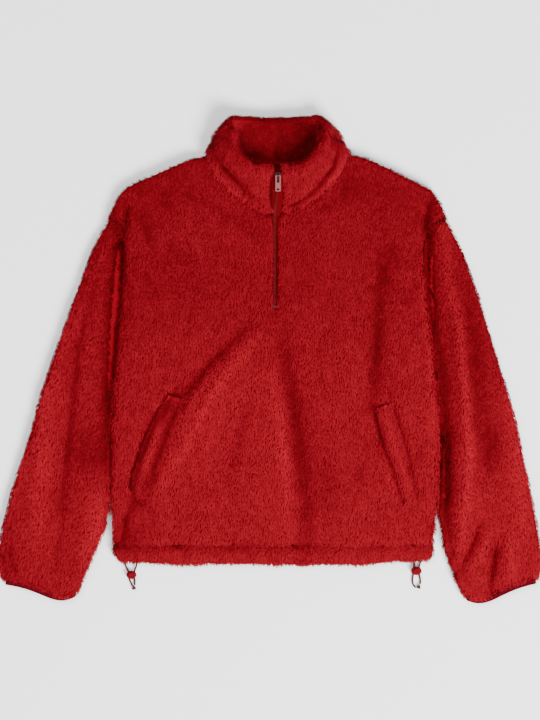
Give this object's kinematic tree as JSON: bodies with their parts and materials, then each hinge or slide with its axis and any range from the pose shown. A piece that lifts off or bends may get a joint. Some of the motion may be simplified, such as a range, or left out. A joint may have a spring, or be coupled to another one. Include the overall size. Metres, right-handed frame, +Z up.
{
  "type": "fleece half-zip sweatshirt",
  "caption": "High-pile fleece pullover laid flat, with a stand collar, short front zip, slanted welt pockets and a corded hem with locks.",
  "frame": {"origin": "on the surface it lies on, under the middle of the laid garment's box", "axes": "+Z up from the surface it lies on, +Y from hem to collar, +X to the right of someone who looks down on the front"},
  "size_m": [0.88, 0.7901, 0.0552],
  "materials": {
    "pile_fleece": "long brushed polyester pile, matt with a soft sheen",
    "elastic_binding": "ribbed knitted elastic",
    "zip_tape": "woven polyester tape",
    "zip_coil": "dyed nylon coil",
    "nickel": "nickel plate, lightly brushed",
    "braided_cord": "round braid over an elastic core",
    "moulded_plastic": "moulded acetal, half gloss"
  },
  "bodies": {
    "garment": {"front": "pile_fleece", "back": "pile_fleece", "sleeve_left": "pile_fleece", "sleeve_right": "pile_fleece", "collar": "pile_fleece", "hem_casing_front": "pile_fleece", "hem_casing_back": "pile_fleece", "pocket_welt_left": "pile_fleece", "pocket_welt_right": "pile_fleece", "cuff_binding_left": "elastic_binding", "cuff_binding_right": "elastic_binding", "zip_tape_left": "zip_tape", "zip_tape_right": "zip_tape", "zip_coil": "zip_coil", "zip_slider": "nickel", "zip_stop": "nickel", "hem_cord_left_a": "braided_cord", "hem_cord_left_b": "braided_cord", "hem_cord_right_a": "braided_cord", "hem_cord_right_b": "braided_cord", "knot_left": "braided_cord", "knot_right": "braided_cord", "toggle_left": "moulded_plastic", "toggle_right": "moulded_plastic"},
    "pull": {"zip_pull": "nickel"},
    "button_left": {"toggle_button_left": "moulded_plastic"},
    "button_right": {"toggle_button_right": "moulded_plastic"}
  },
  "joints": [
    {"name": "pull_swing", "type": "hinge", "parent": "garment", "child": "pull", "pos_m": [0.013, 0.2964, 0.05097], "axis": [-1, 0, 0], "range_deg": [0, 150]},
    {"name": "button_left_press", "type": "slide", "parent": "garment", "child": "button_left", "axis": [0, 0, -1], "range_m": [0, 0.0022], "stiffness_N_per_m": 400, "springref_m": -0.001},
    {"name": "button_right_press", "type": "slide", "parent": "garment", "child": "button_right", "axis": [0, 0, -1], "range_m": [0, 0.0022], "stiffness_N_per_m": 400, "springref_m": -0.001}
  ]
}
